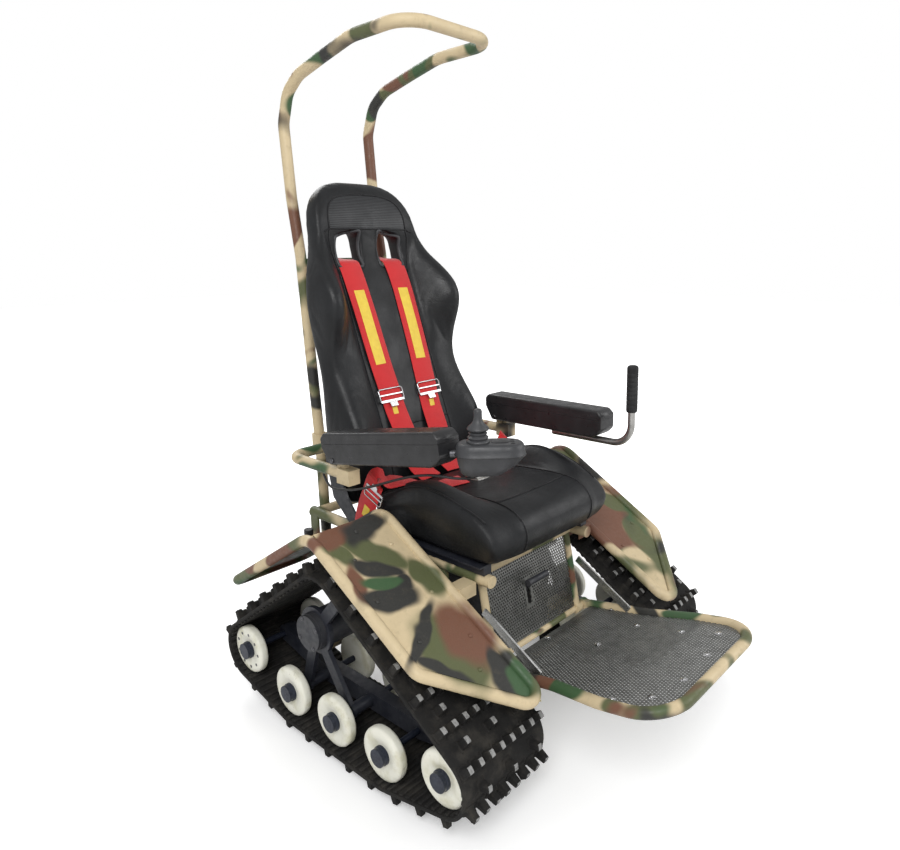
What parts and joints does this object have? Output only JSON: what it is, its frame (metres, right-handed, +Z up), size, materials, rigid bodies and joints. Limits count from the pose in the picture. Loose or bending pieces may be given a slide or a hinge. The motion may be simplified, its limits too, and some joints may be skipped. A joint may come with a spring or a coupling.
{
  "type": "tracked wheelchair",
  "caption": "All-terrain powered wheelchair on rubber tracks: bucket seat with harness, roll bar, flip-up armrests with joystick and hand grip, fenders and a flip-up mesh footplate.",
  "frame": {"origin": "on the ground below the middle of the part's box", "axes": "+Z up from the ground, -Y the way the person faces, -X the person's right"},
  "size_m": [0.986, 1.2841, 1.69],
  "materials": {
    "camouflage_paint": "matt camouflage paint",
    "track_rubber": "worn moulded rubber",
    "wheel_nylon": "worn off-white nylon",
    "axle_steel": "dark plated steel",
    "frame_black": "navy-black powder coat",
    "case_dark": "dark satin paint",
    "sheet_steel": "grey perforated sheet",
    "bare_steel": "bare tube",
    "sprocket_steel": "worn steel",
    "seat_vinyl": "black grained vinyl",
    "webbing_red": "woven webbing",
    "adjuster_chrome": "polished",
    "buckle_metal": "satin",
    "armrest_black": "soft black moulding",
    "joystick_plastic": "dark grey plastic",
    "foam_black": "foam sleeve",
    "cable_black": "cable jacket",
    "battery_plastic": "plain case",
    "bellows_rubber": "folded rubber",
    "strut_paint": "matt camouflage paint"
  },
  "bodies": {
    "chassis": {"main_frame": "camouflage_paint", "battery_box": "battery_plastic", "drive_motors": "case_dark", "drive_case_right": "case_dark", "drive_sprocket_right": "sprocket_steel", "track_right": "track_rubber", "track_frame_right": "frame_black", "road_wheels_right": "wheel_nylon", "wheel_axles_right": "axle_steel", "fender_frame_right": "camouflage_paint", "fender_panel_right": "camouflage_paint", "drive_case_left": "case_dark", "drive_sprocket_left": "sprocket_steel", "track_left": "track_rubber", "track_frame_left": "frame_black", "road_wheels_left": "wheel_nylon", "wheel_axles_left": "axle_steel", "fender_frame_left": "camouflage_paint", "fender_panel_left": "camouflage_paint", "roll_bar": "camouflage_paint", "armrest_tube": "camouflage_paint", "front_struts": "strut_paint", "front_panel": "sheet_steel", "panel_lever": "case_dark", "seat_base": "frame_black", "seat_bellows": "bellows_rubber", "seat_cushion": "seat_vinyl", "seat_back": "seat_vinyl", "shoulder_straps": "webbing_red", "strap_adjusters": "adjuster_chrome", "lap_straps": "webbing_red", "harness_buckle": "buckle_metal"},
    "armrest_right": {"armrest_base_right": "armrest_black", "armrest_pad_right": "armrest_black", "joystick_module": "joystick_plastic", "joystick_stick": "joystick_plastic", "joystick_cable": "cable_black"},
    "armrest_left": {"armrest_base_left": "armrest_black", "armrest_pad_left": "armrest_black", "grip_bar": "bare_steel", "hand_grip": "foam_black"},
    "footplate": {"footplate_frame": "camouflage_paint", "footplate_mesh": "sheet_steel", "footplate_stays": "strut_paint"}
  },
  "joints": [
    {"name": "armrest_right_flip", "type": "hinge", "parent": "chassis", "child": "armrest_right", "pos_m": [-0.3, 0.232, 0.673], "axis": [-1, 0, 0], "range_deg": [0, 60]},
    {"name": "armrest_left_flip", "type": "hinge", "parent": "chassis", "child": "armrest_left", "pos_m": [0.3, 0.232, 0.673], "axis": [-1, 0, 0], "range_deg": [0, 70]},
    {"name": "footplate_flip", "type": "hinge", "parent": "chassis", "child": "footplate", "pos_m": [0, -0.151, 0.212], "axis": [-1, 0, 0], "range_deg": [0, 60]}
  ]
}
